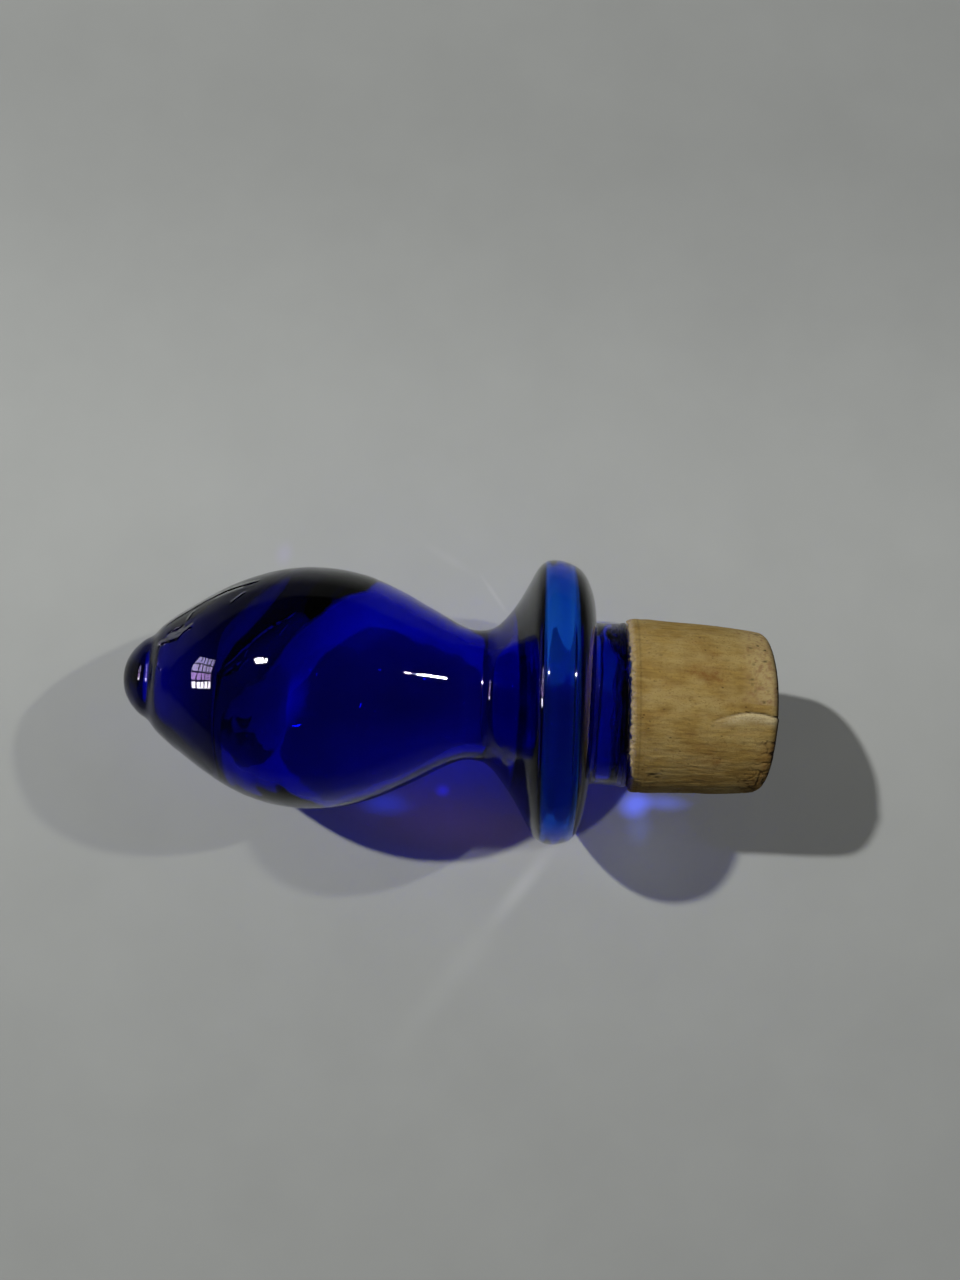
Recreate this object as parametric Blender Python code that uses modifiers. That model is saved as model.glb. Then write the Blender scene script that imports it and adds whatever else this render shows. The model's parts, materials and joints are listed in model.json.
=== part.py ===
import math

import bpy

# A stopper of blown cobalt glass with a tapered cork, lying on its bulb and collar rim.
# Lengths are in metres. Stations are distances along the stopper's own axis, from the
# tip of the glass towards the free end of the cork, and radii are measured from that axis.

# Glass: the blunt nose at the tip, then the bulb up to its widest ring
NOSE_DEPTH = 0.0030
NOSE_RADIUS = 0.0063
BULB_FRONT_LENGTH = 0.0299
BULB_RADIUS = 0.0204

# Glass: from the widest ring back to the waist, then the flare out to the collar's rim
BULB_BACK_LENGTH = 0.0271
WAIST_RADIUS = 0.0111
FLARE_LENGTH = 0.0129
COLLAR_RADIUS = 0.0237

# Glass: the cork side of the collar, rounded down to the flat ring that sits on a bottle's lip
COLLAR_BACK_LENGTH = 0.0060
SEAT_RADIUS = 0.0168
ROOT_FILLET = 0.0005

# Glass: the stem, and the narrow open tube that it draws down to inside the cork
STEM_RADIUS = 0.0135
STEM_LENGTH = 0.0064
STEM_EDGE_ROUNDING = 0.0004
TENON_RADIUS = 0.0070
TENON_LENGTH = 0.0165

# Glass: wall thicknesses, solid through the nose and thinnest where the collar's rim is blown out
TIP_WALL = 0.0203
BULB_WALL = 0.0020
WAIST_WALL = 0.0025
RIM_WALL = 0.0007
COLLAR_BACK_WALL = 0.00125
STEM_WALL = 0.00145
SHOULDER_WALL = 0.0016
TENON_WALL = 0.0015

# Glass: the ring-shaped air pocket folded into the collar, open to the bore all round
POCKET_WIDTH = 0.0058
POCKET_MOUTH_RADIUS = 0.0109
FOLD_ROUNDING = 0.0006

# Cork: slightly barrelled taper, with a blind hole for the tube
CORK_LENGTH = 0.0219
CORK_RADIUS = 0.0145
CORK_END_RADIUS = 0.0134
CORK_END_ROUNDING_LENGTH = 0.0014
CORK_END_ROUNDING_DEPTH = 0.0016
CORK_CHAMFER = 0.0006
HOLE_CHAMFER = 0.0004

# Clearances: tube in its hole, tube's end to the hole's bottom, and face to face
TENON_CLEARANCE = 0.0003
HOLE_END_CLEARANCE = 0.0005
SEAT_GAP = 0.0003

# Flat sides of every turned piece; one of them faces the table
SEGMENTS = 48
SMOOTH_ANGLE = math.radians(35)

# Outlines as shares of a stretch's length and of its change of radius
BULB_FRONT_SHARES = ((0.0, 0.0), (0.133, 0.236), (0.365, 0.577), (0.662, 0.882), (1.0, 1.0))
BULB_BACK_SHARES = ((0.0, 0.0), (0.304, 0.130), (0.648, 0.578), (0.815, 0.854), (1.0, 1.0))
FLARE_SHARES = ((0.0, 0.0), (0.200, 0.060), (0.519, 0.417), (0.798, 0.917), (1.0, 1.0))
BORE_SHARES = ((0.0, 0.0), (0.5, 0.5), (1.0, 1.0))
CORK_SIDE_SHARES = ((0.0, 0.0), (0.5, 0.28), (1.0, 1.0))
POCKET_CROWN_SHARE = 0.3
CAVITY_DRAW_POWER = 1.25

# Places along the axis
BULB_STATION = NOSE_DEPTH + BULB_FRONT_LENGTH
WAIST_STATION = BULB_STATION + BULB_BACK_LENGTH
COLLAR_STATION = WAIST_STATION + FLARE_LENGTH
SEAT_STATION = COLLAR_STATION + COLLAR_BACK_LENGTH
STEM_END_STATION = SEAT_STATION + STEM_LENGTH
TENON_END_STATION = STEM_END_STATION + TENON_LENGTH
POCKET_END_STATION = SEAT_STATION - COLLAR_BACK_WALL
POCKET_START_STATION = POCKET_END_STATION - POCKET_WIDTH
CORK_STATION = STEM_END_STATION + SEAT_GAP
HOLE_RADIUS = TENON_RADIUS + TENON_CLEARANCE
HOLE_DEPTH = TENON_LENGTH - SEAT_GAP + HOLE_END_CLEARANCE


def arc(centre, radii, start_degrees, end_degrees, steps):
    # Points of an elliptical arc about (station, radius), leaving out its first point
    points = []
    for step in range(1, steps + 1):
        angle = math.radians(start_degrees + (end_degrees - start_degrees) * step / steps)
        points.append((centre[0] + radii[0] * math.cos(angle), centre[1] + radii[1] * math.sin(angle)))
    return points


def stretch(start, end, knots, steps, level_start=True):
    # A smooth curve from start to end through the shares, level at its end, without its first point
    slopes = [0.0] * len(knots)
    for i in range(1, len(knots) - 1):
        slopes[i] = (knots[i + 1][1] - knots[i - 1][1]) / (knots[i + 1][0] - knots[i - 1][0])
    if not level_start:
        slopes[0] = knots[1][1] / knots[1][0]
    points = []
    for i in range(len(knots) - 1):
        (u0, v0), (u1, v1) = knots[i], knots[i + 1]
        span = u1 - u0
        for step in range(1, steps + 1):
            t = step / steps
            rise = v0 + (v1 - v0) * (3 * t**2 - 2 * t**3)
            rise += span * (slopes[i] * (t - 2 * t**2 + t**3) + slopes[i + 1] * (t**3 - t**2))
            way = u0 + span * t
            points.append((start[0] + (end[0] - start[0]) * way, start[1] + (end[1] - start[1]) * rise))
    return points


def glass_outside():
    # From the tip to the open end of the tube, over its rounded lip
    points = [(0.0, 0.0)]
    points += arc((NOSE_DEPTH, 0.0), (NOSE_DEPTH, NOSE_RADIUS), 180, 90, 5)
    points += stretch(points[-1], (BULB_STATION, BULB_RADIUS), BULB_FRONT_SHARES, 2, level_start=False)
    points += stretch(points[-1], (WAIST_STATION, WAIST_RADIUS), BULB_BACK_SHARES, 2)
    points += stretch(points[-1], (COLLAR_STATION, COLLAR_RADIUS), FLARE_SHARES, 2)
    rim_radii = (COLLAR_BACK_LENGTH, COLLAR_RADIUS - SEAT_RADIUS)
    points += arc((COLLAR_STATION, SEAT_RADIUS), rim_radii, 90, 0, 6)
    root = (SEAT_STATION + ROOT_FILLET, STEM_RADIUS + ROOT_FILLET)
    points.append((SEAT_STATION, root[1]))
    points += arc(root, (ROOT_FILLET, ROOT_FILLET), 180, 270, 2)
    edge = (STEM_END_STATION - STEM_EDGE_ROUNDING, STEM_RADIUS - STEM_EDGE_ROUNDING)
    points.append((edge[0], STEM_RADIUS))
    points += arc(edge, (STEM_EDGE_ROUNDING, STEM_EDGE_ROUNDING), 90, 0, 2)
    points.append((STEM_END_STATION, TENON_RADIUS))
    lip = TENON_WALL / 2
    points.append((TENON_END_STATION - lip, TENON_RADIUS))
    points += arc((TENON_END_STATION - lip, TENON_RADIUS - lip), (lip, lip), 90, -90, 4)
    return points


def glass_inside():
    # From the blown cavity's end behind the tip, through the bore, to the tube's open end
    cavity_length = BULB_STATION - TIP_WALL
    cavity_radius = BULB_RADIUS - BULB_WALL
    points = [(TIP_WALL, 0.0)]
    for station, radius in arc((BULB_STATION, 0.0), (cavity_length, 1.0), 180, 90, 9):
        points.append((station, cavity_radius * radius**CAVITY_DRAW_POWER))
    points += stretch(points[-1], (WAIST_STATION, WAIST_RADIUS - WAIST_WALL), BULB_BACK_SHARES, 2)
    mouth = (POCKET_START_STATION - FOLD_ROUNDING, POCKET_MOUTH_RADIUS)
    points += stretch(points[-1], mouth, BORE_SHARES, 2)
    points += collar_pocket()
    stem_bore = STEM_RADIUS - STEM_WALL
    tenon_bore = TENON_RADIUS - TENON_WALL
    floor = STEM_END_STATION - SHOULDER_WALL
    points.append((floor - FOLD_ROUNDING, stem_bore))
    points += arc((floor - FOLD_ROUNDING, stem_bore - FOLD_ROUNDING), (FOLD_ROUNDING, FOLD_ROUNDING), 90, 0, 2)
    points.append((floor, tenon_bore + FOLD_ROUNDING))
    points += arc((floor + FOLD_ROUNDING, tenon_bore + FOLD_ROUNDING), (FOLD_ROUNDING, FOLD_ROUNDING), 180, 270, 2)
    return points


def collar_pocket():
    # The fold: out along its front wall, over the thin rim, and back in along its back wall
    rounding = (FOLD_ROUNDING, FOLD_ROUNDING)
    stem_bore = STEM_RADIUS - STEM_WALL
    rim_height = COLLAR_RADIUS - RIM_WALL - SEAT_RADIUS
    crown = POCKET_START_STATION + POCKET_WIDTH * POCKET_CROWN_SHARE
    points = arc((POCKET_START_STATION - FOLD_ROUNDING, POCKET_MOUTH_RADIUS + FOLD_ROUNDING), rounding, -90, 0, 2)
    points.append((POCKET_START_STATION, SEAT_RADIUS))
    points += arc((crown, SEAT_RADIUS), (crown - POCKET_START_STATION, rim_height), 180, 90, 4)
    points += arc((crown, SEAT_RADIUS), (POCKET_END_STATION - crown, rim_height), 90, 0, 5)
    points.append((POCKET_END_STATION, stem_bore + FOLD_ROUNDING))
    points += arc((POCKET_END_STATION + FOLD_ROUNDING, stem_bore + FOLD_ROUNDING), rounding, 180, 270, 2)
    return points


def cork_outline():
    # From the middle of the free end, down the outer side, and up the blind hole
    shoulder = CORK_LENGTH - CORK_END_ROUNDING_LENGTH
    flat = CORK_END_RADIUS - CORK_END_ROUNDING_DEPTH
    side = [(CORK_CHAMFER, CORK_RADIUS)]
    side += stretch(side[0], (shoulder, CORK_END_RADIUS), CORK_SIDE_SHARES, 3)
    side += arc((shoulder, flat), (CORK_END_ROUNDING_LENGTH, CORK_END_ROUNDING_DEPTH), 90, 0, 4)
    points = [(CORK_LENGTH, 0.0)] + side[::-1]
    points.append((0.0, CORK_RADIUS - CORK_CHAMFER))
    points.append((0.0, HOLE_RADIUS + HOLE_CHAMFER))
    points.append((HOLE_CHAMFER, HOLE_RADIUS))
    points.append((HOLE_DEPTH, HOLE_RADIUS))
    points.append((HOLE_DEPTH, 0.0))
    return points


def turned(name, outline, station, material, collection, axis):
    # A solid of revolution from points (station, radius), its origin on the stopper's axis
    mesh = bpy.data.meshes.new(name)
    verts = [(radius, 0.0, along) for along, radius in outline]
    edges = [(i, i + 1) for i in range(len(verts) - 1)]
    mesh.from_pydata(verts, edges, [])
    mesh.materials.append(material)
    piece = bpy.data.objects.new(name, mesh)
    collection.objects.link(piece)
    piece.parent = axis
    piece.location = (0.0, 0.0, station)
    screw = piece.modifiers.new("turn", 'SCREW')
    screw.axis = 'Z'
    screw.angle = math.tau
    screw.steps = SEGMENTS
    screw.render_steps = SEGMENTS
    screw.use_merge_vertices = True
    screw.merge_threshold = 0.00001
    screw.use_smooth_shade = True
    return piece


def glass_material():
    material = bpy.data.materials.new("cobalt_glass")
    material.use_nodes = True
    shader = material.node_tree.nodes["Principled BSDF"]
    shader.inputs["Base Color"].default_value = (0.004, 0.012, 0.22, 1.0)
    shader.inputs["Roughness"].default_value = 0.03
    shader.inputs["Metallic"].default_value = 0.0
    shader.inputs["IOR"].default_value = 1.52
    shader.inputs["Transmission Weight"].default_value = 0.8
    return material


def cork_material():
    material = bpy.data.materials.new("natural_cork")
    material.use_nodes = True
    shader = material.node_tree.nodes["Principled BSDF"]
    shader.inputs["Base Color"].default_value = (0.31, 0.22, 0.085, 1.0)
    shader.inputs["Roughness"].default_value = 0.85
    shader.inputs["Metallic"].default_value = 0.0
    return material


def lying_line(outline):
    # The table touches one ring of the bulb and one of the collar: the lowest line under the
    # waist that has all of the outline above it. The flat sides lie nearer to the axis than
    # the rings' corners do. Gives the two touching points as (station, depth under the axis).
    flat_share = math.cos(math.pi / SEGMENTS)
    under = [(along, radius * flat_share) for along, radius in outline]
    front = [point for point in under if point[0] < WAIST_STATION]
    back = [point for point in under if point[0] > WAIST_STATION]

    def depth_at_waist(pair):
        (s0, d0), (s1, d1) = pair
        return d0 + (d1 - d0) * (WAIST_STATION - s0) / (s1 - s0)

    return max(((a, b) for a in front for b in back), key=depth_at_waist)


def laid_axis(collection, glass, cork):
    # The stopper's axis: it points along +X and rises towards the cork, with the
    # whole part standing on the ground and centred over the origin
    (s0, d0), (s1, d1) = lying_line(glass)
    tilt = math.atan2(d1 - d0, s1 - s0)
    flat_share = math.cos(math.pi / SEGMENTS)
    reach = []
    for along, radius in glass + [(CORK_STATION + z, r) for z, r in cork]:
        for side in (-1, 1):
            reach.append(along * math.cos(tilt) + side * radius * flat_share * math.sin(tilt))
    axis = bpy.data.objects.new("stopper_axis", None)
    collection.objects.link(axis)
    axis.rotation_mode = 'ZYX'
    axis.rotation_euler = (0.0, math.pi / 2 - tilt, math.pi / SEGMENTS)
    lift = d0 * math.cos(tilt) - s0 * math.sin(tilt)
    axis.location = (-(min(reach) + max(reach)) / 2, 0.0, lift)
    axis.empty_display_size = BULB_RADIUS
    return axis


def smooth_round(piece):
    # Round sides shade smooth and the turned corners stay crisp
    bpy.context.view_layer.update()
    depsgraph = bpy.context.evaluated_depsgraph_get()
    mesh = bpy.data.meshes.new_from_object(piece.evaluated_get(depsgraph))
    mesh.shade_smooth()
    mesh.set_sharp_from_angle(angle=SMOOTH_ANGLE)
    piece.modifiers.clear()
    piece.data = mesh


def main():
    for item in list(bpy.data.objects):
        bpy.data.objects.remove(item, do_unlink=True)
    collection = bpy.data.collections.new("glass_bottle_stopper")
    bpy.context.scene.collection.children.link(collection)

    outside = glass_outside()
    cork = cork_outline()
    axis = laid_axis(collection, outside, cork)
    glass_profile = glass_inside() + outside[::-1]
    glass_piece = turned("glass_finial", glass_profile, 0.0, glass_material(), collection, axis)
    cork_piece = turned("tapered_cork", cork, CORK_STATION, cork_material(), collection, axis)
    for piece in (glass_piece, cork_piece):
        smooth_round(piece)
    print("axis at", tuple(axis.location), "rotation", tuple(axis.rotation_euler))


main()
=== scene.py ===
import json
import math

import bmesh
import bpy
from mathutils import Matrix, Vector, noise


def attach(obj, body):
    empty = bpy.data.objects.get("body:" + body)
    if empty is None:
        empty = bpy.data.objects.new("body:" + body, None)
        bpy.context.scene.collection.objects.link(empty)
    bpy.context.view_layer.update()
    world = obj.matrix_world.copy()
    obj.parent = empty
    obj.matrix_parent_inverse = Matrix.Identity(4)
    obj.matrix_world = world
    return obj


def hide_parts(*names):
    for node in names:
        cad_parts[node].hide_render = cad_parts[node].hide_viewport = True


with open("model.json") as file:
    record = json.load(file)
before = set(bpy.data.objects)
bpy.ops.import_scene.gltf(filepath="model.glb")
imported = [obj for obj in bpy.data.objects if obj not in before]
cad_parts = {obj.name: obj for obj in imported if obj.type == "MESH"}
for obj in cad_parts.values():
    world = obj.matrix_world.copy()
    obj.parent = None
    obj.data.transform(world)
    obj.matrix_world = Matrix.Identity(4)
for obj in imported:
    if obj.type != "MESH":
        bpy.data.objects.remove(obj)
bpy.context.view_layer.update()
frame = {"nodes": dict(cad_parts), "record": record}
record = frame["record"]
print("frame loaded:", sorted(frame["nodes"]))

# The stopper's own axis. Stations run along it in millimetres from the glass tip, "side" is
# measured across it level with the table and "up" square to both.
stopper = {
    "length": 107.5,        # tip of the glass to the free end of the cork
    "flats": 48,            # flat sides of the solids that the pieces stay inside
    "weld": 0.002,          # points nearer than this become one
    "clearance": 0.00002,   # metres that every point stays above the table
}
corkEnd = next(mount for mount in record["mounts"] if mount["name"] == "cork_end")
along = Vector(corkEnd["axis"]).normalized()
side = Vector((0, 1, 0))
up = along.cross(side)
tip = Vector(corkEnd["pos_m"]) - along * stopper["length"] / 1000
flatShare = math.cos(math.pi / stopper["flats"])
laidOut = Matrix((side, up, along)).transposed().to_4x4()
laidOut.translation = tip
millimetres = Matrix.Scale(0.001, 4)


def hexColour(code):
    # sRGB hex to linear red, green, blue and a full alpha
    parts = [int(code[i:i + 2], 16) / 255 for i in (1, 3, 5)]
    return [c / 12.92 if c <= 0.04045 else ((c + 0.055) / 1.055) ** 2.4 for c in parts] + [1.0]


def addNode(tree, kind, inputs=None, **settings):
    # one node with its settings, and its sockets set or linked
    node = tree.nodes.new(kind)
    for name, value in settings.items():
        setattr(node, name, value)
    for key, value in (inputs or {}).items():
        socket = node.inputs[key]
        if isinstance(value, bpy.types.NodeSocket):
            tree.links.new(value, socket)
        else:
            socket.default_value = value
    return node


def newMaterial(name):
    material = bpy.data.materials.new(name)
    material.use_nodes = True
    material.node_tree.nodes.clear()
    return material, material.node_tree


def mixShaders(tree, share, first, second):
    inputs = {0: share, 1: first.outputs[0], 2: second.outputs[0]}
    return addNode(tree, "ShaderNodeMixShader", inputs)


def mixColours(tree, share, first, second):
    inputs = {"Factor": share, "A": first, "B": second}
    return addNode(tree, "ShaderNodeMix", inputs, data_type='RGBA').outputs["Result"]


def arithmetic(tree, operation, first, second, clamp=False):
    inputs = {0: first, 1: second}
    return addNode(tree, "ShaderNodeMath", inputs, operation=operation, use_clamp=clamp).outputs[0]


def grain(tree, place, scale, detail=4, roughness=0.6):
    node = addNode(tree, "ShaderNodeTexNoise", {
        "Vector": place, "Scale": scale, "Detail": detail, "Roughness": roughness})
    return node.outputs["Fac"]


def vectorMath(tree, operation, first, second=None, third=None):
    inputs = {i: value for i, value in enumerate((first, second, third)) if value is not None}
    return addNode(tree, "ShaderNodeVectorMath", inputs, operation=operation).outputs[0]


def scaled(tree, vector, factor):
    inputs = {0: vector, "Scale": factor}
    return addNode(tree, "ShaderNodeVectorMath", inputs, operation='SCALE').outputs[0]


def spread(tree, value, low, high, start=0.0, end=1.0, smooth=False):
    # a value between low and high laid out evenly from start to end
    node = addNode(tree, "ShaderNodeMapRange", {0: value, 1: low, 2: high, 3: start, 4: end},
                   interpolation_type='SMOOTHSTEP' if smooth else 'LINEAR')
    return node.outputs[0]


def placeOnStopper(tree):
    # millimetres to the side, up and along the stopper's own axis
    place = addNode(tree, "ShaderNodeTexCoord")
    inverse = (laidOut @ millimetres).inverted()
    local = addNode(tree, "ShaderNodeMapping", {
        "Vector": place.outputs["Object"], "Location": inverse.translation,
        "Rotation": inverse.to_euler(), "Scale": (1000, 1000, 1000)})
    return local.outputs[0]


def stretched(tree, place, scale):
    return addNode(tree, "ShaderNodeMapping", {"Vector": place, "Scale": scale}).outputs[0]


def smoothLine(knots, gap):
    # points about a gap apart on a smooth curve through the knots
    line = [Vector(knot) for knot in knots]
    steps = [max((b - a).length, 1e-6) for a, b in zip(line, line[1:])]
    slopes = [(line[1] - line[0]) / steps[0]]
    for i in range(1, len(line) - 1):
        before, after = (line[i] - line[i - 1]) / steps[i - 1], (line[i + 1] - line[i]) / steps[i]
        slopes.append((before * steps[i] + after * steps[i - 1]) / (steps[i] + steps[i - 1]))
    slopes.append((line[-1] - line[-2]) / steps[-1])
    points = [line[0]]
    for i, step in enumerate(steps):
        count = max(1, round(step / gap))
        for k in range(1, count + 1):
            t = k / count
            point = line[i] * (2 * t**3 - 3 * t**2 + 1) + line[i + 1] * (3 * t**2 - 2 * t**3)
            point += (slopes[i] * (t**3 - 2 * t**2 + t) + slopes[i + 1] * (t**3 - t**2)) * step
            points.append(point)
    return points


def between(table, place):
    # straight interpolation in a table of (place, value)
    if place <= table[0][0]:
        return table[0][1]
    for (x0, y0), (x1, y1) in zip(table, table[1:]):
        if place <= x1:
            return y0 + (y1 - y0) * (place - x0) / (x1 - x0)
    return table[-1][1]


def lumps(x, y, z, fineness=1, shift=(0, 0, 0)):
    # smooth random unevenness, between about -1 and 1
    return noise.noise(Vector((x, y, z)) * fineness + Vector(shift))


def bell(value, middle, width):
    return math.exp(-((value - middle) / width) ** 2)


def turn(profile, segments):
    # a turned shell about Z from (station, radius) points, closed at both poles
    shell = bmesh.new()
    corners = [shell.verts.new((point[1], 0, point[0])) for point in profile]
    lines = [shell.edges.new(pair) for pair in zip(corners, corners[1:])]
    bmesh.ops.spin(shell, geom=corners + lines, cent=(0, 0, 0), axis=(0, 0, 1),
                   angle=math.tau, steps=segments, use_merge=True)
    bmesh.ops.remove_doubles(shell, verts=shell.verts, dist=stopper["weld"])
    bmesh.ops.recalc_face_normals(shell, faces=shell.faces)
    return shell


def layDown(shell, name, material, body, node):
    # from millimetres about Z to metres on the table, as a finished piece
    bmesh.ops.transform(shell, matrix=laidOut @ millimetres, verts=shell.verts)
    for vert in shell.verts:
        vert.co.z = max(vert.co.z, stopper["clearance"])
    mesh = bpy.data.meshes.new(name)
    shell.to_mesh(mesh)
    shell.free()
    mesh.shade_smooth()
    mesh.materials.append(material)
    piece = bpy.data.objects.new(name, mesh)
    bpy.context.scene.collection.objects.link(piece)
    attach(piece, body)
    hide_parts(node)
    print(name, "has", len(mesh.polygons), "faces")
    return piece


# Glass: one hollow blown piece, from the inside of the nose through the folded collar and the
# tube, and back along the outside to the tip
glass = {
    "inside": [
        (20.4, 0), (20.42, 3.5), (20.55, 7.0), (20.75, 9.8), (20.95, 10.05), (23.0, 11.8),
        (25.1, 13.3), (27.4, 14.7), (29.7, 15.9), (31.8, 16.8), (34.0, 17.4), (36.4, 17.8),
        (40, 17.4), (43.5, 16.2), (46.5, 14.7), (50, 12.7), (54, 10.5), (57, 9.2),
        (60, 8.5), (63, 8.5), (66, 9.1), (68.6, 10.1),
        (70.2, 11.5), (70.7, 13.4), (70.75, 16), (70.7, 19), (70.75, 21.0), (71.0, 22.35),
        (71.5, 22.85), (72.2, 22.92), (73.2, 22.86), (74.2, 22.76), (75.2, 22.58), (75.9, 22.25),
        (76.4, 21.6), (76.7, 20.4), (76.8, 18.0), (76.8, 15.6), (76.95, 13.6), (77.4, 12.5),
        (78.4, 12.1), (80, 12.05), (82.6, 12.05),
        (83.4, 11.75), (83.7, 11.0), (83.7, 7.4), (83.85, 6.2), (84.5, 5.6), (86, 5.5), (94, 5.5),
        (101.0, 5.5), (101.6, 5.7), (101.8, 6.25),
    ],
    "outside": [
        (101.8, 6.25), (101.6, 6.8), (101.0, 7.0), (94, 7.0), (86.4, 7.0), (85.5, 7.2), (85.3, 8.0),
        (85.3, 10), (85.3, 12.9), (85.15, 13.45), (84.7, 13.75), (83.6, 13.55), (81.5, 13.5),
        (79.7, 13.55), (79.1, 13.8), (78.92, 14.5), (78.9, 16.2), (78.75, 17.6), (78.3, 19.3),
        (77.6, 21.0), (76.9, 22.1), (76.0, 22.85), (75.0, 23.28), (74.0, 23.55), (72.9, 23.66),
        (71.7, 23.5), (70.8, 23.05), (70.0, 22.2), (69.1, 20.7), (67.9, 18.5), (66.5, 16.15),
        (65.2, 14.35), (64.0, 12.9), (62.9, 11.85), (61.6, 11.2), (60.2, 11.0), (58.5, 11.12),
        (56.9, 11.65), (55.2, 12.5), (53.4, 13.47), (50.7, 14.93), (48.7, 16.0), (46.3, 17.15),
        (43.9, 18.2), (41.3, 19.15), (38.5, 19.82), (35.8, 20.22), (33.1, 20.4), (31, 20.4),
        (28.8, 20.22), (26.3, 19.8), (23.7, 19.1), (21.5, 18.33), (19.1, 17.27), (16.8, 16.05),
        (14.0, 14.4), (11.6, 12.87), (10.0, 11.85), (8.6, 10.85), (7.2, 9.8), (5.8, 8.75),
        (4.6, 7.75), (3.3, 6.65), (2.2, 5.6), (1.2, 4.35), (0.5, 2.9), (0.12, 1.4), (0, 0),
    ],
    "gap": 0.55,            # between the points of the profile
    "segments": 160,
    "skinDepth": 0.2,       # what lies this near to the outline belongs to the outside
    # the axis wanders a little, to the side, as hand-blown glass does
    "sway": [(0, 0), (12, -0.05), (18, -0.1), (23, -0.18), (28, -0.1), (36, 0.04), (50, 0.08),
             (55, 0.25), (62, 0.25), (65, 0), (68, 0), (79, 0.05), (85, 0.1)],
    "hollowSway": [(17, -4.6), (28, -2.6), (42, 0)],    # the hollow's front end isn't centred
    "collarSlant": 0.030,   # the collar leans: its side towards +Y is nearer to the tip
    "collarReach": [(60, 0), (70, 1), (76, 1), (79, 0)],
    "stemSlant": (-0.045, -0.060),   # its end isn't square: shares of side and of up
    "stemReach": [(80.5, 0), (85.2, 1), (86.4, 1), (90, 0)],
    "grooveDepth": 0.50,    # the ring that the jacks pressed in behind the nose
    "grooveWidth": 1.15,
    "grooveEnd": 12,
    "grooveStation": (4.5, 0.26),    # at the sides, and its lean by "up"
    "grooveFacet": (0.45, 0.76),     # pressed flat on top: how deep, and from which share of "up"
    "leastRadius": 3,
    # unevenness in millimetres, of the outer skin and of the inner one, and how it varies along
    "ripple": 0.05,
    "innerRipple": 0.16,
    "rippleReach": [(64, 1), (69, 0.25), (79, 0.25), (81, 3.0), (85, 3.0)],
    "calmRadius": 4,
    "waveStretch": 0.7,                     # the long wave is longer along the axis
    "longWave": (0.11, (3.1, 0, 7.7)),      # fineness to a millimetre, and where it is taken
    "shortWave": (0.3, 0.4),                # fineness and share
    "highest": 0.35,                        # of the outer waves: above it nothing is added
    "endRipple": [(79, 0), (81, 1.5), (84.0, 1.5), (84.8, 0)],   # of the hollow's end in the stem
    "endWave": (0.17, (0, 0, 4.4)),
    "endRadii": [(6.2, 0), (7.6, 1)],
    # marks of the jacks beside the nose: two ends (side, up, station), reach and height
    "ridges": [
        ((9.0, 6.4, 8.6), (12.6, 7.6, 14.5), 0.9, 0.62),
        ((12.6, 7.6, 14.5), (15.0, 8.7, 19.3), 0.8, 0.66),
        ((15.0, 8.7, 19.3), (16.4, 9.9, 23.6), 0.9, 0.6),
        ((13.6, 9.2, 17.6), (15.2, 10.1, 21.4), 0.7, -0.5),
        ((10.2, 8.6, 10.9), (13.2, 9.2, 16.0), 0.7, -0.45),
        ((5.2, 9.9, 8.6), (6.1, 10.9, 10.6), 0.8, 0.6),
        ((6.1, 10.9, 10.6), (6.3, 11.8, 12.3), 0.8, 0.7),
        ((6.3, 11.8, 12.3), (8.2, 12.2, 14.6), 0.7, 0.5),
        ((7.0, 10.1, 10.4), (8.0, 10.9, 12.6), 0.8, -0.7),
        ((9.6, 10.4, 13.2), (10.9, 9.2, 13.6), 0.6, 0.4),
        ((12.6, 13.4, 21.2), (13.9, 12.3, 22.6), 0.6, 0.35),
        ((2.0, 10.9, 9.6), (1.2, 11.4, 10.3), 0.6, 0.3),
    ],
    "wobble": (0.55, 0.8),  # of the ridges: fineness, and how far they wander
    # patches of fine chill marks: middle, reach, height and fineness
    "chills": [
        ((3.2, 19.9, 28.0), 3.6, 0.032, 1.9), ((9.9, 17.8, 30.3), 2.2, 0.012, 2.2),
        ((7.2, 11.6, 12.4), 3.0, 0.16, 0.6), ((14.6, 9.6, 20.5), 3.2, 0.10, 0.7),
    ],
    "chillStretch": (0.35, 0.35, 1),
    "skinWave": (0.35, 0.010),       # fineness and height of waves that only highlights show
    "roughness": 0.015,
    "gloss": 0.25,
    "refraction": 1.52,
    "body": (0.14, 0.64, 0.982, 1),  # what a thick wall lets through
    "density": 3500,
    "shadow": (0.56, 0.56, 0.55, 1),
}


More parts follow.
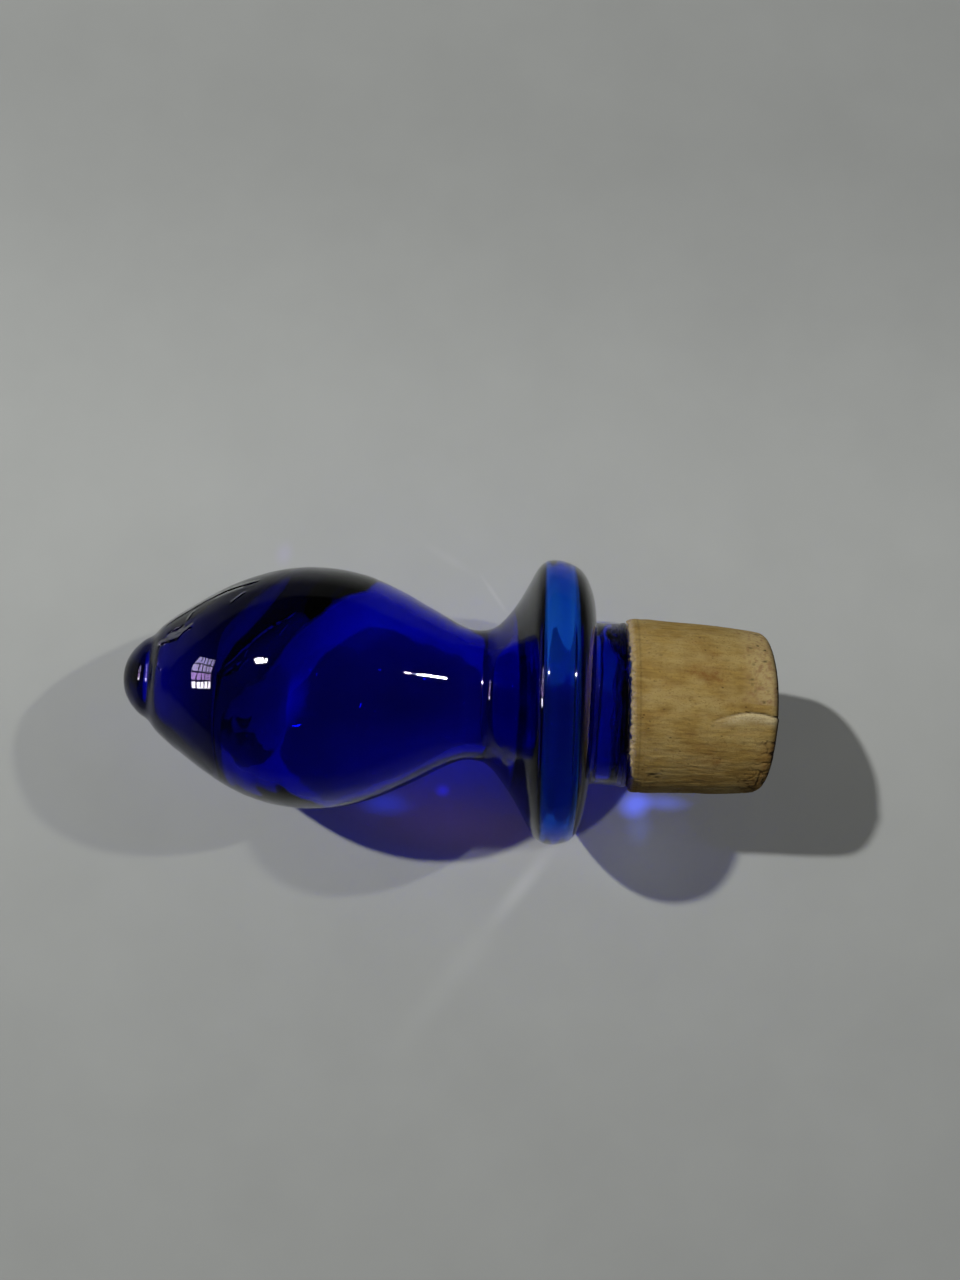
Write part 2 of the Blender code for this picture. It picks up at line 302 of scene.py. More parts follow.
def makeGlass(material):
    inner, outer = (smoothLine(glass[way], glass["gap"]) for way in ("inside", "outside"))
    shell = turn(inner + outer[1:], glass["segments"])
    outline = glass["outside"][::-1]
    for vert in shell.verts:
        x, y, z = vert.co
        radius = math.hypot(x, y)
        skin = radius > between(outline, z) - glass["skinDepth"]
        ripple = glass["ripple"] if skin else glass["innerRipple"]
        ripple *= min(1, radius / glass["calmRadius"]) * between(glass["rippleReach"], z)
        fineness, share = glass["shortWave"]
        wave = lumps(x, y, z * glass["waveStretch"], *glass["longWave"])
        wave += share * lumps(x, y, z, fineness)
        if skin:
            wave = min(0, wave - glass["highest"])
        if radius > 0:
            grow = 1 + ripple * wave / radius
            x, y = x * grow, y * grow
        if skin and z < glass["grooveEnd"]:
            station, lean = glass["grooveStation"]
            facet, top = glass["grooveFacet"]
            held = max(radius, glass["leastRadius"])
            depth = glass["grooveDepth"] + facet * max(0, y / held - top) / (1 - top)
            press = 1 - depth * bell(z, station + lean * y, glass["grooveWidth"]) / held
            x, y = x * press, y * press
        z -= glass["collarSlant"] * x * between(glass["collarReach"], z)
        reach = between(glass["stemReach"], z)
        z += reach * (glass["stemSlant"][0] * x + glass["stemSlant"][1] * y)
        if not skin:
            uneven = lumps(x, y, 0, *glass["endWave"])
            z += uneven * between(glass["endRipple"], z) * between(glass["endRadii"], radius)
            x += between(glass["hollowSway"], z)
        vert.co = (x * flatShare + between(glass["sway"], z), y * flatShare, z)
    return layDown(shell, "blown_glass_finial", material, "finial", "glass_finial")


def nearLine(tree, place, ends, reach):
    # 1 on the line between two ends, and 0 beyond the reach
    start, run = Vector(ends[0]), Vector(ends[1]) - Vector(ends[0])
    offset = vectorMath(tree, 'SUBTRACT', place, start)
    share = addNode(tree, "ShaderNodeVectorMath", {0: offset, 1: run / run.length_squared},
                    operation='DOT_PRODUCT').outputs["Value"]
    held = addNode(tree, "ShaderNodeClamp", {"Value": share}).outputs[0]
    return nearPoint(tree, offset, scaled(tree, run, held), reach)


def nearPoint(tree, place, middle, reach):
    gap = addNode(tree, "ShaderNodeVectorMath", {0: place, 1: middle}, operation='DISTANCE')
    return spread(tree, gap.outputs["Value"], 0, reach, 1, 0, smooth=True)


def cobaltGlass():
    # Soda-lime glass coloured with cobalt, blown and fire polished: thick walls go nearly black,
    # thin ones azure, and the skin is smooth with a hard gloss, scarred where the jacks held it
    material, tree = newMaterial("blownCobaltGlass")
    place = placeOnStopper(tree)
    fineness, rise = glass["skinWave"]
    height = arithmetic(tree, 'MULTIPLY', grain(tree, place, fineness, 1), rise)
    fineness, wander = glass["wobble"]
    shaken = addNode(tree, "ShaderNodeTexNoise", {"Vector": place, "Scale": fineness, "Detail": 1})
    drift = vectorMath(tree, 'ADD', shaken.outputs["Color"], (-0.5, -0.5, -0.5))
    wavy = vectorMath(tree, 'MULTIPLY_ADD', drift, (wander, wander, wander), place)
    for *ends, reach, rise in glass["ridges"]:
        ridge = arithmetic(tree, 'MULTIPLY', nearLine(tree, wavy, ends, reach), rise)
        height = arithmetic(tree, 'ADD', height, ridge)
    for middle, reach, rise, fineness in glass["chills"]:
        bumps = grain(tree, stretched(tree, place, glass["chillStretch"]), fineness, 2)
        bumps = arithmetic(tree, 'MULTIPLY', bumps, rise)
        patch = arithmetic(tree, 'MULTIPLY', nearPoint(tree, place, middle, reach), bumps)
        height = arithmetic(tree, 'ADD', height, patch)
    relief = addNode(tree, "ShaderNodeBump", {"Height": height, "Strength": 1, "Distance": 0.001})
    skin = addNode(tree, "ShaderNodeBsdfPrincipled", {
        "Base Color": hexColour("#ffffff"), "Roughness": glass["roughness"],
        "IOR": glass["refraction"], "Specular IOR Level": glass["gloss"],
        "Transmission Weight": 1.0, "Normal": relief.outputs[0]})
    # lamp light goes straight on through the walls, so the table under the glass is tinted, not black
    through = addNode(tree, "ShaderNodeBsdfTransparent", {"Color": glass["shadow"]})
    path = addNode(tree, "ShaderNodeLightPath")
    both = mixShaders(tree, path.outputs["Is Shadow Ray"], skin, through)
    body = addNode(tree, "ShaderNodeVolumeAbsorption", {
        "Color": glass["body"], "Density": glass["density"]})
    addNode(tree, "ShaderNodeOutputMaterial", {
        "Surface": both.outputs[0], "Volume": body.outputs[0]})
    return material


makeGlass(cobaltGlass())


# Cork: bored, pushed over the glass tube, cut a little out of square and worn at both edges
cork = {
    "face": 85.55,          # station of the ragged end against the glass
    "mantle": 9,            # further out than this lies the outside, further in the hole
    "girth": 14,            # millimetres around the cork for each radian
    # from the free end's middle, down the side, and from its last knot on up the blind hole
    "outside": [
        (107.45, 0), (107.45, 5), (107.45, 9), (107.42, 11.2), (107.2, 12.2), (106.8, 12.9),
        (106.2, 13.3), (105.2, 13.5), (103, 13.75), (100, 13.98), (97, 14.15), (93, 14.3),
        (90, 14.42), (87.8, 14.5), (87.2, 14.45), (86.9, 14.5), (86.2, 14.5), (85.75, 14.42),
        (85.55, 14.1), (85.55, 13),
    ],
    "hole": [
        (85.55, 13), (85.55, 10), (85.55, 7.8), (85.7, 7.4), (86.2, 7.3), (90, 7.3), (96, 7.3),
        (102.1, 7.3), (102.3, 7.1), (102.3, 4), (102.3, 0),
    ],
    "outsideGap": 0.21,     # between the points of each profile
    "holeGap": 0.84,
    "segments": 420,
    "slant": (-0.045, -0.060),
    "slantReach": [(85.4, 1), (88.5, 0.6), (94, 0)],
    "sway": [(85, 0.1), (94, 0.2), (101, 0.17), (108, 0.1)],
    # unevenness of the outside: fineness around and along, lean, and a seed
    "grains": {
        "streak": (1.1, 0.16, 0, 2.0), "fine": (2.4, 0.42, 0.15, 9.0), "pit": (1.3, 0.9, 0, 5.0),
        "scratch": (1.0, 1.3, 0, 31.0), "fleck": (1.1, 1.1, 0, 47.0),
        "frayed": (0.55, 0.75, 0, 53.0), "torn": (1.5, 0, 0, 7.0),
    },
    "heights": {"streak": 0.05, "fine": 0.08, "pit": 0.02},     # in millimetres
    "dents": (0.7, 0.22, 0.10, 0.4),        # stretch along the grain, fineness, height, level
    "loss": 0.10,                           # all around, so that nothing stands out
    "roughSide": [(-9, 1), (3, 0.45)],      # the streaks are stronger low on the cork
    # the split near the free end, as (station, way around from the top), and how far it has opened
    "split": [
        (96.3, -2.3), (96.8, -2.05), (98.3, -1.5), (99.8, -1.0), (101.0, -0.6), (102.8, -0.3),
        (105.0, -0.5), (107.5, -1.05),
    ],
    "splitOpen": [(96.3, 0), (98.5, 0.35), (100.5, 0.8), (102, 1), (108, 1)],
    "splitReach": 7,        # how far around it is looked for
    "splitWander": 0.12,
    "cut": (0.34, 0.15),             # how deep and wide the groove is
    "cutShade": (0.95, 0.14, 0.45),  # painted shade in the groove: how dark and wide, and at least how much where it is shut
    "flap": (0.48, 0.5),             # how high the wood under it has lifted, and how far from it
    "flapHighlight": (1.8, 1.3, 1.9),     # how pale the painted highlight on the lifted wood is, how far from it in flap widths, how wide
    # the worn free end: where it starts, and over how many millimetres it comes on
    "worn": (101, 3.5),
    "wornWays": (1, -5),    # reddish marks lie above the first way around, fraying below the second
    "scratches": (0.05, 3.2),
    "veins": (9, 1.1),
    "flecks": (0.36, 3.4),
    "bleached": 0.55,
    "corner": [(103.0, 0), (105.6, 0.7), (106.6, 1)],
    "cornerLean": 0.10,
    "frayedShare": 0.25,             # of the scratches in its raggedness
    "fraying": (7, 0.85, 0.25),      # fineness, darkness and depth
    "cornerStain": (0.8, 0.7, 0.6),  # strength, steady share and varying share
    "rim": (106, 1.2, 12.55, 0.5),   # a darker ring round the free end's edge: station, strength, radius, width
    # the ragged end against the glass, by distance from it
    "tornReach": 2.5,
    "tornTone": (0.9, 0.7, 0.3),
    "squeezed": [(1.05, 0.10, 0.11, 1), (0.55, 0.15, 0.10, 0.7)],    # distance, wander, width, share
    "squeeze": (0.055, 0.42),        # their depth and darkness
    "crumbled": (0.10, 0.4),
    "teeth": (0.45, 0.7),            # how long, and how far from the edge they start
    "toothGrains": [(0, 1.1, 1), (3, 2.4, 0.9)],    # level, fineness and share
    # the free end's face: where it starts, from what level a pore opens, how dark and deep it is
    "grainEnd": (107.2, 0.38, 3.2, 0.5),
    "endPores": [(0.8, 0.5, 61.0, 1), (2.2, 1.6, 67.0, 0.4)],   # fineness each way, seed and share
    "endStain": (0.22, 71.0, 0.8),   # fineness, seed and strength
    "shade": "#7b6230", "tan": "#957b40", "light": "#a08c58", "speck": "#6f5426",
    "brown": "#6e441c", "pale": "#b9a87e", "pore": "#1f150a", "pinhole": "#3d2c14",
    # pores: station, way around, length, width and depth
    "pores": [
        (88.9, -12.2, 0.75, 0.40, 1.0), (89.7, -12.9, 0.5, 0.3, 0.8), (88.3, -12.6, 0.3, 0.3, 0.7),
        (90.2, -11.2, 0.3, 0.2, 0.6), (87.9, -13.9, 0.25, 0.2, 0.6), (92.0, -10.6, 0.3, 0.2, 0.4),
        (97.0, -2.85, 0.3, 0.14, 0.9), (100.0, -3.2, 0.3, 0.14, 0.8), (102.0, -5.4, 0.7, 0.2, 0.4),
        (102.9, 5.0, 0.22, 0.2, 0.8), (102.5, 4.8, 0.3, 0.1, 0.4), (89.5, 8.0, 0.2, 0.15, 0.6),
        (91.2, 13.6, 0.5, 0.3, 0.25), (99.1, 8.0, 0.5, 0.2, 0.3), (106.4, -3.3, 0.25, 0.2, 0.5),
    ],
    "poreDepth": 0.16,
    "poreEdge": (1.5, 0.8),         # how sharp it is, and how ragged
    # stains: station, way around, length, width and strength
    "stains": [
        (95.0, 5.6, 2.0, 1.3, 0.75), (97.2, 4.9, 1.8, 1.7, 0.6), (96.8, 8.8, 2.4, 1.0, 0.45),
        (94.6, 11.2, 1.8, 0.9, 0.3), (97.4, -9.2, 3.4, 1.7, 0.6), (95.4, -6.9, 2.6, 0.8, 0.35),
        (93.0, -4.2, 2.4, 0.7, 0.3), (99.2, 1.4, 2.0, 0.8, 0.3), (88.8, -1.6, 2.4, 0.5, 0.3),
        (91.5, 1.3, 2.4, 0.5, 0.25), (98.0, -12.5, 3.0, 0.8, 0.3), (90.5, 3.0, 1.6, 0.6, 0.2),
    ],
    "stainSwing": (0.75, 0.9),      # the steady share of a stain, and the share that varies
    "streakStain": 0.5,             # of the low streaks
    # noises of the skin: stretch along the grain, fineness to a millimetre, detail and roughness
    "skinNoises": {
        "streaks": (0.16, 1.7, 5, 0.6), "clouds": (0.6, 0.30, 3, 0.6), "specks": (0.7, 3.8, 3, 0.75),
    },
    # what lays each tone on: noise or mark, colour, levels of the noise, and shares there
    "tones": [("streaks", "tan", 0.36, 0.64, 0, 1), ("clouds", "light", 0.40, 0.62, 0, 0.70),
              ("specks", "speck", 0.54, 0.66, 0, 0.6)],
    "marks": [("stain", "brown", 0.35, 0.6, 0.45, 0.8), ("pale", "pale", 0.4, 0.6, 0.35, 0.75),
              ("dark", "pore", 0, 1, 0.9, 0.9)],
    # pinholes: stretch, fineness, size and strength, and the fineness and levels of their groups
    "pinholes": (0.6, 1.25, (0.08, 0.20), 0.8),
    "groups": (0.42, (0.45, 0.62)),
    "skinHeights": {"streaks": 0.16, "specks": -0.09},
    "roughness": 0.85,
    "gloss": 0.15,
}


def corkGrain(name, around, z):
    fineness, along, lean, seed = cork["grains"][name]
    return lumps(around * fineness + z * lean, z * along, seed)


def ovals(table, z, around):
    # strength and squared distance of each oval in a table that reaches this place
    for place, way, length, width, strength in table:
        far = ((z - place) / length) ** 2 + ((around - way) / width) ** 2
        if far < 4:
            yield strength, far


def openSplit(marks, z, around, fine):
    # a groove darkened with painted shade, with the wood under it lifted and a painted highlight
    # where it catches the light
    opened = between(cork["splitOpen"], z)
    off = around - between(cork["split"], z) + cork["splitWander"] * fine
    deep, wide = cork["cut"]
    rise = -deep * opened * bell(off, 0, wide)
    # painted shade in the groove
    dark, wide, least = cork["cutShade"]
    marks["dark"] += dark * bell(off, 0, wide) * max(least, opened) * min(1, z - cork["split"][0][0])
    if off < 0:
        high, width = cork["flap"]
        lifted = -off / width
        rise += high * opened * lifted * math.exp(1 - lifted)
        # painted highlight on the lifted wood
        tone, middle, wide = cork["flapHighlight"]
        marks["pale"] += tone * opened * bell(lifted, middle, wide)
    return rise


def wearEnd(marks, z, around):
    # the worn free end: reddish marks above, a frayed dark corner below
    start, length = cork["worn"]
    worn = min(1, (z - start) / length)
    above, below = cork["wornWays"]
    scratch = corkGrain("scratch", around, z)
    if around > above:
        fleck = corkGrain("fleck", around, z)
        (scratched, red), (thin, brown) = cork["scratches"], cork["veins"]
        scraped, veined = max(0, scratch - scratched), max(0, 1 - abs(fleck) * thin)
        marks["stain"] += worn * (scraped * red + veined * brown)
        level, dark = cork["flecks"]
        marks["dark"] += worn * max(0, fleck - level) * dark
        marks["pale"] += cork["bleached"] * worn
    if around > below:
        return 0
    corner = between(cork["corner"], z + cork["cornerLean"] * (below - around))
    frayed = corkGrain("frayed", around, z) + cork["frayedShare"] * scratch
    thin, dark, deep = cork["fraying"]
    ragged = max(0, 1 - abs(frayed) * thin) * corner
    marks["dark"] += dark * ragged
    strength, steady, swing = cork["cornerStain"]
    marks["stain"] += strength * corner * (steady + swing * scratch)
    return -deep * ragged


def tearFace(marks, edge, around):
    # the end against the glass: torn pale, with two lines where it was squeezed
    torn = corkGrain("torn", around, edge)
    tone, width, wander = cork["tornTone"]
    marks["pale"] += tone * max(0, 1 - edge / (width + wander * torn))
    line = sum(share * bell(edge, place + wander * torn, wide)
               for place, wander, wide, share in cork["squeezed"])
    deep, dark = cork["squeeze"]
    marks["dark"] += dark * line
    lost, reach = cork["crumbled"]
    return -deep * line - lost * max(0, 1 - edge / reach) * (1 + torn)


def makeCork(material):
    outside, hole = (smoothLine(cork[way], cork[way + "Gap"]) for way in ("outside", "hole"))
    shell = turn(outside + hole[1:], cork["segments"])
    names = ("dark", "stain", "pale")
    dark, stain, pale = (shell.verts.layers.float.new(name) for name in names)
    for vert in shell.verts:
        x, y, z = vert.co
        marks = dict.fromkeys(names, 0)
        radius = math.hypot(x, y)
        edge = z - cork["face"]
        if radius > cork["mantle"]:
            around = math.atan2(x, y) * cork["girth"]
            noises = {name: corkGrain(name, around, z) for name in cork["heights"]}
            fine, pit = noises["fine"], noises["pit"]
            low = between(cork["roughSide"], around)
            rise = sum(height * noises[name] * (1 if name == "pit" else low)
                       for name, height in cork["heights"].items())
            stretch, fineness, height, level = cork["dents"]
            rise += height * (lumps(x, y, z * stretch, fineness) - level) - cork["loss"]
            marks["stain"] = max(0, -noises["streak"] * cork["streakStain"]) * low
            steady, swing = cork["stainSwing"]
            for strength, far in ovals(cork["stains"], z, around):
                marks["stain"] += strength * math.exp(-far) * (steady + swing * pit)
            sharp, ragged = cork["poreEdge"]
            for depth, far in ovals(cork["pores"], z, around):
                pore = depth * math.exp(-sharp * far * (1 + ragged * fine))
                marks["dark"] += pore
                rise -= cork["poreDepth"] * pore
            if z > cork["split"][0][0] and abs(around) < cork["splitReach"]:
                rise += openSplit(marks, z, around, fine)
            if z > cork["worn"][0]:
                rise += wearEnd(marks, z, around)
            start, strength, ring, width = cork["rim"]
            if z > start:
                marks["dark"] += strength * bell(radius, ring, width)
            if edge < cork["tornReach"]:
                rise += tearFace(marks, edge, around)
            grow = 1 + rise / radius
            x, y = x * grow, y * grow
            length, reach = cork["teeth"]
            if edge < reach:
                teeth = sum(share * lumps(x, y, level, fineness)
                            for level, fineness, share in cork["toothGrains"])
                z += length * teeth * (1 - edge / reach)
        # the free end is cut across the grain and shows its pores
        start, level, black, deep = cork["grainEnd"]
        if z > start:
            pore = sum(share * lumps(x * wide, y * high, seed)
                       for wide, high, seed, share in cork["endPores"])
            pore = max(0, pore - level)
            marks["dark"] += black * pore
            fineness, seed, strength = cork["endStain"]
            marks["stain"] += max(0, lumps(x * fineness, y * fineness, seed)) * strength
            z -= deep * pore
        reach = between(cork["slantReach"], z)
        z += reach * (cork["slant"][0] * x + cork["slant"][1] * y)
        vert.co = (x * flatShare + between(cork["sway"], z), y * flatShare, z)
        vert[dark], vert[stain], vert[pale] = marks.values()
    return layDown(shell, "worn_tapered_cork", material, "cork", "tapered_cork")


def naturalCork():
    # Bark of the cork oak, cut along the grain and long in use: matt khaki tan, finely streaked,
    # stained brown in places, pored, pale where it is freshly torn
    material, tree = newMaterial("agedNaturalCork")
    place = placeOnStopper(tree)
    noises = {}
    for name, (stretch, fineness, detail, rough) in cork["skinNoises"].items():
        noises[name] = grain(tree, stretched(tree, place, (1, 1, stretch)), fineness, detail, rough)
    tan = hexColour(cork["shade"])
    for name, colour, *levels in cork["tones"]:
        tan = mixColours(tree, spread(tree, noises[name], *levels), tan, hexColour(cork[colour]))
    # pinholes, in groups
    stretch, fineness, size, strength = cork["pinholes"]
    holes = addNode(tree, "ShaderNodeTexVoronoi", {
        "Vector": stretched(tree, place, (1, 1, stretch)), "Scale": fineness})
    fineness, levels = cork["groups"]
    crowd = spread(tree, grain(tree, place, fineness, 1), *levels)
    pinned = spread(tree, holes.outputs["Distance"], *size, strength, 0)
    pinned = arithmetic(tree, 'MULTIPLY', crowd, pinned)
    tan = mixColours(tree, pinned, tan, hexColour(cork["pinhole"]))
    # the marks left on the mesh, broken up by the specks; the dark and pale ones also carry the
    # painted shade and painted highlight of the split
    for name, colour, *levels in cork["marks"]:
        mark = addNode(tree, "ShaderNodeAttribute", attribute_name=name).outputs["Fac"]
        marked = arithmetic(tree, 'MULTIPLY', mark, spread(tree, noises["specks"], *levels), True)
        tan = mixColours(tree, marked, tan, hexColour(cork[colour]))
    heights = [arithmetic(tree, 'MULTIPLY', noises[name], height)
               for name, height in cork["skinHeights"].items()]
    height = arithmetic(tree, 'ADD', *heights)
    relief = addNode(tree, "ShaderNodeBump", {"Height": height, "Strength": 1, "Distance": 0.001})
    skin = addNode(tree, "ShaderNodeBsdfPrincipled", {
        "Base Color": tan, "Roughness": cork["roughness"], "Specular IOR Level": cork["gloss"],
        "Normal": relief.outputs[0]})
    addNode(tree, "ShaderNodeOutputMaterial", {"Surface": skin.outputs[0]})
    return material


makeCork(naturalCork())


# Floor, lamps, room and camera
studio = {
    "floorSize": 6.0,
    "floorColour": "#a4a6a3",
    "floorFade": (0.22, 0.75),      # metres over which the camera sees it run out into the backdrop
    "floorMottle": (45, 0.3, 0.7, 0.025),   # fineness to a metre, levels and share
    "floorRoughness": 0.7,
    # painted lamp light falling off across the table, from its near side to its far side, as (place,
    # share)
    "floorLightFalloff": [
        (-0.120, 0.90), (-0.05, 0.96), (-0.015, 1.0), (0.020, 1.08), (0.050, 1.05), (0.080, 0.92),
        (0.115, 0.78),
    ],
    # light that the glass throws on the table: middle (mm), reach along and across, turn, colour
    "glows": [
        ((38.0, -18.2), (4.4, 3.6), 20, (0.05, 0.09, 0.70)),
        ((43.5, -17.6), (7.0, 2.2), 0, (0.02, 0.04, 0.28)),
        ((39.0, -22.5), (3.5, 5.0), 0, (0.01, 0.02, 0.10)),
        ((-9.6, -20.8), (7.0, 3.2), 0, (0.0, 0.01, 0.22)),
        ((1.2, -17.7), (2.0, 1.7), 0, (0.0, 0.0, 0.30)),
        ((4, -24), (30, 10), -8, (0.016, 0.008, 0.0)),
        ((40, -28), (16, 12), 0, (0.02, 0.022, 0.015)),
        ((17.5, -34.5), (13, 2.4), 54, (0.055, 0.055, 0.055)),
        ((6.5, -50), (26, 4.0), 55, (0.02, 0.02, 0.02)),
        ((8.8, 20.3), (6.5, 0.7), -52, (0.045, 0.045, 0.042)),
        ((-0.5, 26.8), (8, 1.4), -28, (0.02, 0.02, 0.02)),
        ((-32.2, 25.6), (3.4, 2.4), 80, (0.02, 0.01, 0.07)),
    ],
    # and light gathered under the solid nose, which shows only through the glass
    "gathered": [((-39, 0), (9, 9), 0, (0.0, 0.010, 0.42))],
    # the table right under the glass gets the least light: middle, reach, turn and share left
    "under": ((-7, -3), (38, 20), 0, 0.30),
    # share of the floor's tone that reflections in the glass show, from steep ones to flat ones
    "floorGlare": (1.0, 0.22),
    "glareFacing": (0.15, 0.65),
    "window": {
        "place": (-2.0, 0.19, 0.50), "size": (0.80, 0.48), "panes": (4, 5), "bars": 0.036,
        "rows": ["#efe9f6", "#8a6fa4", "#8a80a2", "#7d769c"], "strength": 24,
    },
    # disc lamps, each with a wider globe that only reflections show
    "lamps": {
        "key": {"place": (-0.554, 0.292, 0.733), "size": 0.028, "power": 7.3, "globe": 0.058},
        "fill": {"place": (0.840, 0.370, 0.794), "size": 0.037, "power": 4.0, "globe": 0.048},
    },
    "globeColour": "#fffdf8",
    "globeStrength": 160,
    "globeBehind": 1.02,            # how much further off it is than its lamp
    "globeSides": 32,
    # the room's light as matt things, reflections and refractions meet it
    "ambient": 0.062,
    "ceiling": 0.012,
    "throughGlass": 0.22,
    "backdrop": "#b4b6b2",
}


def stageObject(shell, name, material, hiddenFrom=()):
    mesh = bpy.data.meshes.new(name)
    shell.to_mesh(mesh)
    shell.free()
    mesh.materials.append(material)
    thing = bpy.data.objects.new(name, mesh)
    bpy.context.scene.collection.objects.link(thing)
    for rays in hiddenFrom:
        setattr(thing, "visible_" + rays, False)


def addRamp(tree, value, stops, interpolation):
    # a colour ramp with (position, colour) stops
    ramp = addNode(tree, "ShaderNodeValToRGB", {"Fac": value})
    ramp.color_ramp.interpolation = interpolation
    while len(ramp.color_ramp.elements) < len(stops):
        ramp.color_ramp.elements.new(0.5)
    for stop, (position, colour) in zip(ramp.color_ramp.elements, stops):
        stop.position = position
        stop.color = colour
    return ramp.outputs["Color"]


def spot(tree, place, middle, reach, turned):
    # 1 in the middle of a soft oval on the table, in millimetres, and 0 outside it
    centred = addNode(tree, "ShaderNodeMapping", {
        "Vector": place, "Location": (middle[0] / 1000, middle[1] / 1000, 0),
        "Rotation": (0, 0, math.radians(turned)), "Scale": (reach[0] / 1000, reach[1] / 1000, 1)},
        vector_type='TEXTURE').outputs[0]
    far = addNode(tree, "ShaderNodeVectorMath", {0: centred}, operation='LENGTH').outputs["Value"]
    return spread(tree, far, 0, 1, 1, 0, smooth=True)


def laminate():
    # Plain coated board: matt, with hardly any grain, and a little lighter in the middle from painted
    # lamp light
    material, tree = newMaterial("paleLaminate")
    place = addNode(tree, "ShaderNodeTexCoord").outputs["Object"]
    path = addNode(tree, "ShaderNodeLightPath")
    depth = addNode(tree, "ShaderNodeSeparateXYZ", {"Vector": place}).outputs["Y"]
    # painted lamp light: the board's colour falls off away from the middle
    tones, colour = studio["floorLightFalloff"], hexColour(studio["floorColour"])[:3]
    low, high = tones[0][0], tones[-1][0]
    stops = [((where - low) / (high - low), [c * share for c in colour] + [1])
             for where, share in tones]
    tone = addRamp(tree, spread(tree, depth, low, high), stops, 'B_SPLINE')
    fineness, *levels, share = studio["floorMottle"]
    mottle = spread(tree, grain(tree, place, fineness, 3), *levels, 1 - share, 1 + share)
    # reflections in the glass show it darker, and so does the glass that lies on it
    mirrored = arithmetic(tree, 'SUBTRACT', path.outputs["Is Glossy Ray"],
                          path.outputs["Is Transmission Ray"], True)
    flat = addNode(tree, "ShaderNodeLayerWeight", {"Blend": 0.5}).outputs["Facing"]
    glare = spread(tree, flat, *studio["glareFacing"], *studio["floorGlare"])
    *oval, left = studio["under"]
    through = path.outputs["Is Transmission Ray"]
    through = arithmetic(tree, 'MULTIPLY', spot(tree, place, *oval), through)
    dimmed = arithmetic(tree, 'MULTIPLY', spread(tree, mirrored, 0, 1, 1, glare),
                        spread(tree, through, 0, 1, 1, left))
    skin = addNode(tree, "ShaderNodeBsdfPrincipled", {
        "Base Color": scaled(tree, scaled(tree, tone, mottle), dimmed),
        "Roughness": studio["floorRoughness"], "Specular IOR Level": 0.0})
    both = skin
    for glows, seen in (("glows", "Is Camera Ray"), ("gathered", "Is Transmission Ray")):
        light = (0, 0, 0)
        for *oval, colour in studio[glows]:
            light = vectorMath(tree, 'MULTIPLY_ADD', colour, spot(tree, place, *oval), light)
        glow = addNode(tree, "ShaderNodeEmission", {"Color": light, "Strength": path.outputs[seen]})
        both = addNode(tree, "ShaderNodeAddShader", {0: both.outputs[0], 1: glow.outputs[0]})
    distance = addNode(tree, "ShaderNodeVectorMath", {0: place}, operation='LENGTH').outputs["Value"]
    faded = spread(tree, distance, *studio["floorFade"], 0, 1, smooth=True)
    faded = arithmetic(tree, 'MULTIPLY', faded, path.outputs["Is Camera Ray"])
    sweep = addNode(tree, "ShaderNodeEmission", {
        "Color": hexColour(studio["backdrop"]), "Strength": 1})
    ends = mixShaders(tree, faded, both, sweep)
    addNode(tree, "ShaderNodeOutputMaterial", {"Surface": ends.outputs[0]})
    return material


def makeFloor():
    tabletop = bmesh.new()
    bmesh.ops.create_grid(tabletop, x_segments=1, y_segments=1, size=studio["floorSize"] / 2)
    stageObject(tabletop, "tabletop", laminate())


def daylitPanes(window):
    # Window glass with daylight behind it: white below, and lilac where other panes shade it
    material, tree = newMaterial("daylitPanes")
    place = addNode(tree, "ShaderNodeTexCoord").outputs["Object"]
    across = addNode(tree, "ShaderNodeSeparateXYZ", {"Vector": place}).outputs["Y"]
    middle, width, rows = window["place"][1], window["size"][0], window["rows"]
    stops = [(i / len(rows), hexColour(code)) for i, code in enumerate(rows)]
    across = spread(tree, across, middle - width / 2, middle + width / 2)
    tone = addRamp(tree, across, stops, 'CONSTANT')
    glare = addNode(tree, "ShaderNodeEmission", {"Color": tone, "Strength": window["strength"]})
    addNode(tree, "ShaderNodeOutputMaterial", {"Surface": glare.outputs[0]})
    return material


def makeWindow(window):
    # a far window that only reflections show
    panes = bmesh.new()
    columns, rows = window["panes"]
    bmesh.ops.create_grid(panes, x_segments=columns, y_segments=rows, size=0.5)
    bars = bmesh.ops.inset_individual(panes, faces=panes.faces[:], thickness=window["bars"])
    bmesh.ops.delete(panes, geom=bars["faces"], context='FACES')
    bmesh.ops.scale(panes, vec=(*window["size"], 1), verts=panes.verts)
    bmesh.ops.rotate(panes, matrix=Matrix(((0, 0, 1), (1, 0, 0), (0, 1, 0))), verts=panes.verts)
    bmesh.ops.translate(panes, vec=window["place"], verts=panes.verts)
    hiddenFrom = ("camera", "diffuse", "transmission", "shadow")
    stageObject(panes, "farWindow", daylitPanes(window), hiddenFrom)


def makeLamp(name, lamp):
    light = bpy.data.lights.new(name + "Lamp", 'AREA')
    light.shape = 'DISK'
    light.size = lamp["size"]
    light.energy = lamp["power"]
    holder = bpy.data.objects.new(name + "Lamp", light)
    holder.location = lamp["place"]
    holder.rotation_euler = Vector(lamp["place"]).to_track_quat('Z', 'Y').to_euler()
    bpy.context.scene.collection.objects.link(holder)


def unscattered(tree, path):
    # 1 for rays that no matt surface has scattered
    return arithmetic(tree, 'LESS_THAN', path.outputs["Diffuse Depth"], 0.5)


def litOpal():
    # Opal glass lit from behind: an even disc, warm white
    material, tree = newMaterial("litOpalGlass")
    path = addNode(tree, "ShaderNodeLightPath")
    strength = arithmetic(tree, 'MULTIPLY', unscattered(tree, path), studio["globeStrength"])
    glow = addNode(tree, "ShaderNodeEmission", {
        "Color": hexColour(studio["globeColour"]), "Strength": strength})
    addNode(tree, "ShaderNodeOutputMaterial", {"Surface": glow.outputs[0]})
    return material


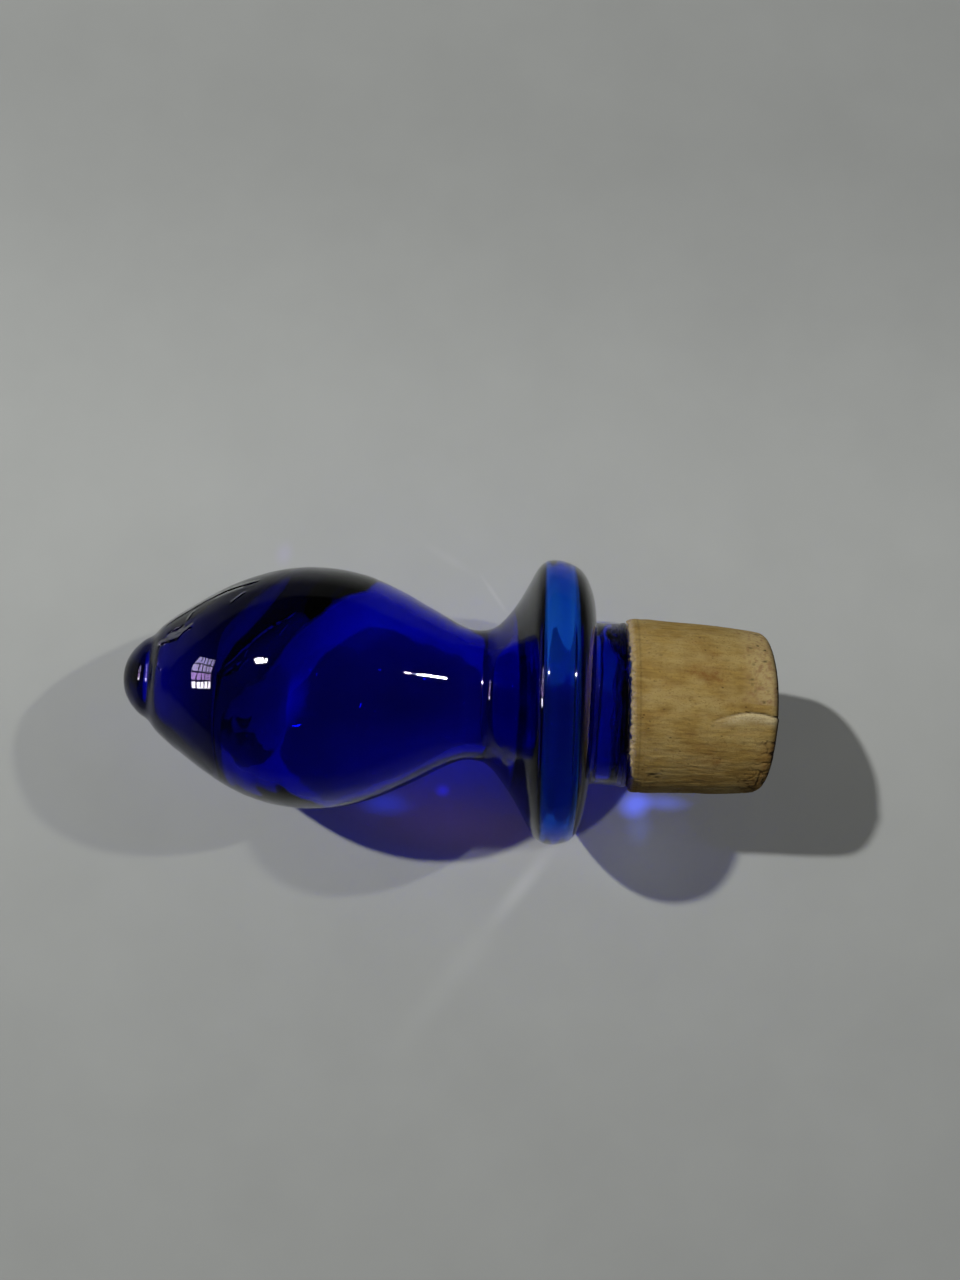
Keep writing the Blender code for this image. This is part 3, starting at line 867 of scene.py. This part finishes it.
def makeGlobe(name, lamp, material):
    # the lamp's bright globe, which only reflections show
    disc = bmesh.new()
    bmesh.ops.create_circle(disc, cap_ends=True, segments=studio["globeSides"],
                            radius=lamp["globe"] / 2)
    facing = Vector(lamp["place"]).to_track_quat('Z', 'Y').to_matrix()
    bmesh.ops.rotate(disc, matrix=facing, verts=disc.verts)
    bmesh.ops.translate(disc, vec=Vector(lamp["place"]) * studio["globeBehind"], verts=disc.verts)
    stageObject(disc, name + "Globe", material, ("camera", "diffuse", "shadow"))


def makeRoom():
    world = bpy.data.worlds.new("room")
    bpy.context.scene.world = world
    world.use_nodes = True
    tree = world.node_tree
    tree.nodes.clear()
    path = addNode(tree, "ShaderNodeLightPath")
    white = hexColour("#ffffff")
    dim, dark, inside, plain = (
        addNode(tree, "ShaderNodeBackground", {"Color": colour, "Strength": strength})
        for colour, strength in ((white, studio["ambient"]), (white, studio["ceiling"]),
                                 (white, studio["throughGlass"]), (hexColour(studio["backdrop"]), 1)))
    straight = unscattered(tree, path)
    straight = arithmetic(tree, 'MULTIPLY', straight, path.outputs["Is Transmission Ray"])
    seen = mixShaders(tree, straight, dark, inside)
    lit = mixShaders(tree, path.outputs["Is Diffuse Ray"], seen, dim)
    mixed = mixShaders(tree, path.outputs["Is Camera Ray"], lit, plain)
    addNode(tree, "ShaderNodeOutputWorld", {"Surface": mixed.outputs[0]})


camera = {
    "place": (0.0011, -0.0035, 0.1846),      # hand held, close above the table
    "turnDegrees": (4.497, -1.958, 3.485),
    "lens": 27.03,                           # a phone's main camera, on a 36 mm frame
    "sensor": 36,
    "nearest": 0.01,
}


def makeCamera():
    data = bpy.data.cameras.new("handheld")
    data.lens = camera["lens"]
    data.sensor_width = camera["sensor"]
    data.clip_start = camera["nearest"]
    holder = bpy.data.objects.new("handheld", data)
    holder.location = camera["place"]
    holder.rotation_euler = [math.radians(turned) for turned in camera["turnDegrees"]]
    bpy.context.scene.collection.objects.link(holder)
    bpy.context.scene.camera = holder


makeFloor()
makeWindow(studio["window"])
opal = litOpal()
for name, lamp in studio["lamps"].items():
    makeLamp(name, lamp)
    makeGlobe(name, lamp, opal)
makeRoom()
makeCamera()
bpy.context.scene.view_settings.view_transform = 'Standard'
print("stage, lamps and camera set")
